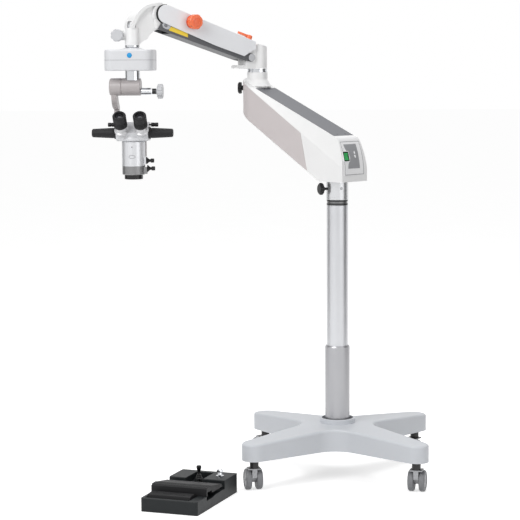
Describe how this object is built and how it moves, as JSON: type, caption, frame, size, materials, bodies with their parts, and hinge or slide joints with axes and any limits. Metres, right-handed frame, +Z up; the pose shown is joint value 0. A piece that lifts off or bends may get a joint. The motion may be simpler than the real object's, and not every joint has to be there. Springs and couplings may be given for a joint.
{
  "type": "surgical microscope",
  "caption": "Surgical microscope on a castor floor stand: swivelling arm, spring-balanced arm, positioning unit, tilting binocular head, foot control beside it.",
  "frame": {"origin": "on the floor, under the axis of the column", "axes": "+Z up, +X to the right of a person who faces the operator's side, +Y away from that person"},
  "size_m": [1.1952, 0.9904, 1.7062],
  "materials": {
    "white_coat": "smooth white powder coat",
    "white_shell": "moulded white cover",
    "iron": "rough black casting",
    "steel": "turned steel",
    "silver": "bead-blasted satin aluminium",
    "chrome": "bright plating",
    "black": "black plastic",
    "grey": "grey plastic",
    "dark_grey": "grey textured paint",
    "strip_grey": "mid grey textured paint",
    "warm_grey": "warm grey enamel",
    "base_shell": "pale blue-grey moulding",
    "charcoal": "charcoal moulding",
    "pink_grey": "pale warm grey plastic",
    "panel": "white membrane with a grey field",
    "green": "clear green rocker",
    "white_key": "white key",
    "orange": "orange plastic",
    "blue": "blue plastic",
    "glass": "coated lens",
    "tyre": "grey castor tread",
    "rubber": "soft black rubber",
    "light_grey": "light grey enamel",
    "alloy_white": "white coated aluminium casting"
  },
  "bodies": {
    "stand": {"base_cover": "base_shell", "base_frame": "iron", "column_sleeve": "silver", "column_tube": "silver", "column_spindle": "steel"},
    "castor_front_left": {"castor_body_front_left": "grey"},
    "wheels_front_left": {"castor_wheels_front_left": "tyre"},
    "castor_front_right": {"castor_body_front_right": "grey"},
    "wheels_front_right": {"castor_wheels_front_right": "tyre"},
    "castor_rear_left": {"castor_body_rear_left": "grey"},
    "wheels_rear_left": {"castor_wheels_rear_left": "tyre"},
    "castor_rear_right": {"castor_body_rear_right": "grey"},
    "wheels_rear_right": {"castor_wheels_rear_right": "tyre"},
    "lower_arm": {"arm_housing": "alloy_white", "side_cover": "pink_grey", "top_strip": "strip_grey", "control_panel": "panel", "pivot_collar": "silver", "housing_beam": "silver", "lamp_unit": "silver"},
    "power_switch": {"power_switch": "green"},
    "brightness_key": {"brightness_key": "white_key"},
    "collar_knob": {"collar_knob": "black"},
    "socket_knob": {"socket_knob": "black"},
    "post": {"swivel_post": "alloy_white", "link_pin": "steel"},
    "balance_arm": {"arm_cover": "white_shell", "spring_tube": "steel", "balance_spring": "steel"},
    "lock_knob": {"lock_knob": "orange"},
    "balance_lever": {"balance_lever": "orange"},
    "lower_link": {"lower_link": "dark_grey"},
    "head": {"head_bracket": "alloy_white"},
    "head_clamp_knob": {"head_clamp_knob": "grey"},
    "positioner": {"positioner_top": "light_grey", "positioner_base": "light_grey"},
    "blue_button": {"blue_button": "blue"},
    "cross_slide": {"x_carriage": "silver"},
    "drop": {"drop_shaft": "alloy_white", "tilt_barrel": "warm_grey"},
    "tilt_knob": {"tilt_knob": "light_grey"},
    "tilt": {"tilt_arm": "warm_grey"},
    "scope": {"scope_body": "alloy_white", "lower_ring": "silver", "objective_lens": "glass", "binocular_body": "light_grey", "handles": "rubber"},
    "zoom_knob": {"zoom_knob": "black"},
    "filter_knob": {"filter_knob": "black"},
    "eye_tube_left": {"eye_tube_left": "light_grey"},
    "eye_tube_right": {"eye_tube_right": "light_grey"},
    "eyepiece_left": {"eyepiece_left": "rubber"},
    "eyepiece_right": {"eyepiece_right": "rubber"},
    "pupil_knobs": {"pupil_knobs": "black"},
    "foot_control": {"foot_case": "charcoal"},
    "pedal_front": {"foot_pedal_front": "black"},
    "pedal_rear": {"foot_pedal_rear": "black"},
    "joystick_ring": {"joystick_gimbal": "steel"},
    "joystick": {"joystick": "rubber"}
  },
  "joints": [
    {"name": "castor_swivel_front_left", "type": "hinge", "parent": "stand", "child": "castor_front_left", "pos_m": [-0.283, -0.283, 0.1], "axis": [0, 0, 1], "continuous": true},
    {"name": "castor_roll_front_left", "type": "hinge", "parent": "castor_front_left", "child": "wheels_front_left", "pos_m": [-0.28818, -0.26368, 0.0375], "axis": [0.9659, 0.2588, 0], "continuous": true},
    {"name": "castor_swivel_front_right", "type": "hinge", "parent": "stand", "child": "castor_front_right", "pos_m": [0.283, -0.283, 0.1], "axis": [0, 0, 1], "continuous": true},
    {"name": "castor_roll_front_right", "type": "hinge", "parent": "castor_front_right", "child": "wheels_front_right", "pos_m": [0.28647, -0.2633, 0.0375], "axis": [0.9848, -0.1736, 0], "continuous": true},
    {"name": "castor_swivel_rear_left", "type": "hinge", "parent": "stand", "child": "castor_rear_left", "pos_m": [-0.283, 0.283, 0.1], "axis": [0, 0, 1], "continuous": true},
    {"name": "castor_roll_rear_left", "type": "hinge", "parent": "castor_rear_left", "child": "wheels_rear_left", "pos_m": [-0.3027, 0.27953, 0.0375], "axis": [-0.1736, 0.9848, 0], "continuous": true},
    {"name": "castor_swivel_rear_right", "type": "hinge", "parent": "stand", "child": "castor_rear_right", "pos_m": [0.283, 0.283, 0.1], "axis": [0, 0, 1], "continuous": true},
    {"name": "castor_roll_rear_right", "type": "hinge", "parent": "castor_rear_right", "child": "wheels_rear_right", "pos_m": [0.273, 0.26568, 0.0375], "axis": [-0.866, 0.5, 0], "continuous": true},
    {"name": "arm_swivel", "type": "hinge", "parent": "stand", "child": "lower_arm", "pos_m": [0, 0, 1.075], "axis": [0, 0, 1], "range_deg": [-150, 150]},
    {"name": "power_switch_rock", "type": "hinge", "parent": "lower_arm", "child": "power_switch", "pos_m": [0.03421, -0.07587, 1.16], "axis": [-0.6018, -0.7986, 0], "range_deg": [-7, 7]},
    {"name": "brightness_rock", "type": "hinge", "parent": "lower_arm", "child": "brightness_key", "pos_m": [0.06569, -0.03072, 1.168], "axis": [-0.6018, -0.7986, 0], "range_deg": [-3, 3], "stiffness_Nm_per_rad": 0.4},
    {"name": "collar_knob_turn", "type": "hinge", "parent": "lower_arm", "child": "collar_knob", "pos_m": [-0.02175, -0.01014, 1.042], "axis": [-0.9063, -0.4226, 0], "range_deg": [-90, 90]},
    {"name": "socket_knob_turn", "type": "hinge", "parent": "lower_arm", "child": "socket_knob", "pos_m": [-0.32568, 0.22809, 1.401], "axis": [-1, 0, 0], "range_deg": [-90, 90]},
    {"name": "post_swivel", "type": "hinge", "parent": "lower_arm", "child": "post", "pos_m": [-0.30268, 0.22809, 1.458], "axis": [0, 0, 1], "range_deg": [-193, 47]},
    {"name": "arm_lift", "type": "hinge", "parent": "post", "child": "balance_arm", "pos_m": [-0.3399, 0.20105, 1.552], "axis": [-0.5878, 0.809, 0], "range_deg": [-20, 24], "stiffness_Nm_per_rad": 20, "springref_deg": 108.86},
    {"name": "link_turn", "type": "hinge", "parent": "post", "child": "lower_link", "pos_m": [-0.3399, 0.20105, 1.512], "axis": [-0.5878, 0.809, 0], "range_deg": [-20, 24]},
    {"name": "head_level", "type": "hinge", "parent": "balance_arm", "child": "head", "pos_m": [-0.62953, -0.00938, 1.666], "axis": [-0.5878, 0.809, 0], "range_deg": [-24, 20]},
    {"name": "lock_knob_turn", "type": "hinge", "parent": "balance_arm", "child": "lock_knob", "pos_m": [-0.52232, 0.0166, 1.639], "axis": [0.5878, -0.809, 0], "range_deg": [-120, 120]},
    {"name": "balance_lever_turn", "type": "hinge", "parent": "balance_arm", "child": "balance_lever", "pos_m": [-0.33504, 0.20458, 1.5739], "axis": [0.2673, 0.1942, 0.9439], "range_deg": [-60, 60]},
    {"name": "head_clamp_turn", "type": "hinge", "parent": "head", "child": "head_clamp_knob", "pos_m": [-0.77418, -0.07815, 1.591], "axis": [0, -1, 0], "range_deg": [-90, 90]},
    {"name": "head_swivel", "type": "hinge", "parent": "head", "child": "positioner", "pos_m": [-0.72418, -0.07815, 1.58], "axis": [0, 0, 1], "range_deg": [-150, 150]},
    {"name": "blue_button_press", "type": "slide", "parent": "positioner", "child": "blue_button", "axis": [0, 1, 0], "range_m": [0, 0.0025], "stiffness_N_per_m": 400, "springref_m": -0.002},
    {"name": "cross_travel_x", "type": "slide", "parent": "positioner", "child": "cross_slide", "axis": [1, 0, 0], "range_m": [-0.025, 0.025]},
    {"name": "cross_travel_y", "type": "slide", "parent": "cross_slide", "child": "drop", "axis": [0, 1, 0], "range_m": [-0.025, 0.025]},
    {"name": "tilt_knob_turn", "type": "hinge", "parent": "drop", "child": "tilt_knob", "pos_m": [-0.68718, -0.07815, 1.393], "axis": [1, 0, 0], "range_deg": [-120, 120]},
    {"name": "tilt", "type": "hinge", "parent": "drop", "child": "tilt", "pos_m": [-0.72418, -0.07815, 1.409], "axis": [1, 0, 0], "range_deg": [-30, 60]},
    {"name": "focus", "type": "slide", "parent": "tilt", "child": "scope", "axis": [0, 0, 1], "range_m": [-0.02, 0.02]},
    {"name": "zoom_turn", "type": "hinge", "parent": "scope", "child": "zoom_knob", "pos_m": [-0.68418, -0.07815, 1.147], "axis": [1, 0, 0], "range_deg": [-150, 150]},
    {"name": "filter_turn", "type": "hinge", "parent": "scope", "child": "filter_knob", "pos_m": [-0.68418, -0.07815, 1.119], "axis": [1, 0, 0], "range_deg": [-120, 120]},
    {"name": "pupil_slide_left", "type": "slide", "parent": "scope", "child": "eye_tube_left", "axis": [-1, 0, 0], "range_m": [-0.008, 0.002]},
    {"name": "pupil_slide_right", "type": "slide", "parent": "scope", "child": "eye_tube_right", "axis": [1, 0, 0], "range_m": [-0.008, 0.002]},
    {"name": "pupil_knob_turn", "type": "hinge", "parent": "scope", "child": "pupil_knobs", "pos_m": [-0.72418, -0.08015, 1.275], "axis": [1, 0, 0], "range_deg": [-80, 20]},
    {"name": "diopter_left", "type": "hinge", "parent": "eye_tube_left", "child": "eyepiece_left", "pos_m": [-0.76018, -0.12015, 1.254], "axis": [0, -0.7071, 0.7071], "range_deg": [-150, 150]},
    {"name": "diopter_right", "type": "hinge", "parent": "eye_tube_right", "child": "eyepiece_right", "pos_m": [-0.68818, -0.12015, 1.254], "axis": [0, -0.7071, 0.7071], "range_deg": [-150, 150]},
    {"name": "foot_control_lift", "type": "slide", "parent": "stand", "child": "foot_control", "axis": [0, 0, 1], "range_m": [0, 0.4]},
    {"name": "pedal_front_press", "type": "hinge", "parent": "foot_control", "child": "pedal_front", "pos_m": [-0.61905, -0.53694, 0.034], "axis": [0.9613, -0.2756, 0], "range_deg": [0, 5], "stiffness_Nm_per_rad": 3, "springref_deg": -4.58},
    {"name": "pedal_rear_press", "type": "hinge", "parent": "foot_control", "child": "pedal_rear", "pos_m": [-0.57881, -0.3966, 0.031], "axis": [0.9613, -0.2756, 0], "range_deg": [0, 5], "stiffness_Nm_per_rad": 3, "springref_deg": -4.58},
    {"name": "joystick_fore", "type": "hinge", "parent": "foot_control", "child": "joystick_ring", "pos_m": [-0.4708, -0.34643, 0.038], "axis": [0.9613, -0.2756, 0], "range_deg": [-10, 10], "stiffness_Nm_per_rad": 0.5},
    {"name": "joystick_side", "type": "hinge", "parent": "joystick_ring", "child": "joystick", "pos_m": [-0.4708, -0.34643, 0.038], "axis": [0.2756, 0.9613, 0], "range_deg": [-10, 10], "stiffness_Nm_per_rad": 0.5}
  ],
  "couplings": [
    {"joint": "link_turn", "follows": "arm_lift", "ratio": 1},
    {"joint": "head_level", "follows": "arm_lift", "ratio": -1},
    {"joint": "pupil_slide_right", "follows": "pupil_slide_left", "ratio": 1},
    {"joint": "pupil_knob_turn", "follows": "pupil_slide_left", "rad_per_m": 150}
  ]
}
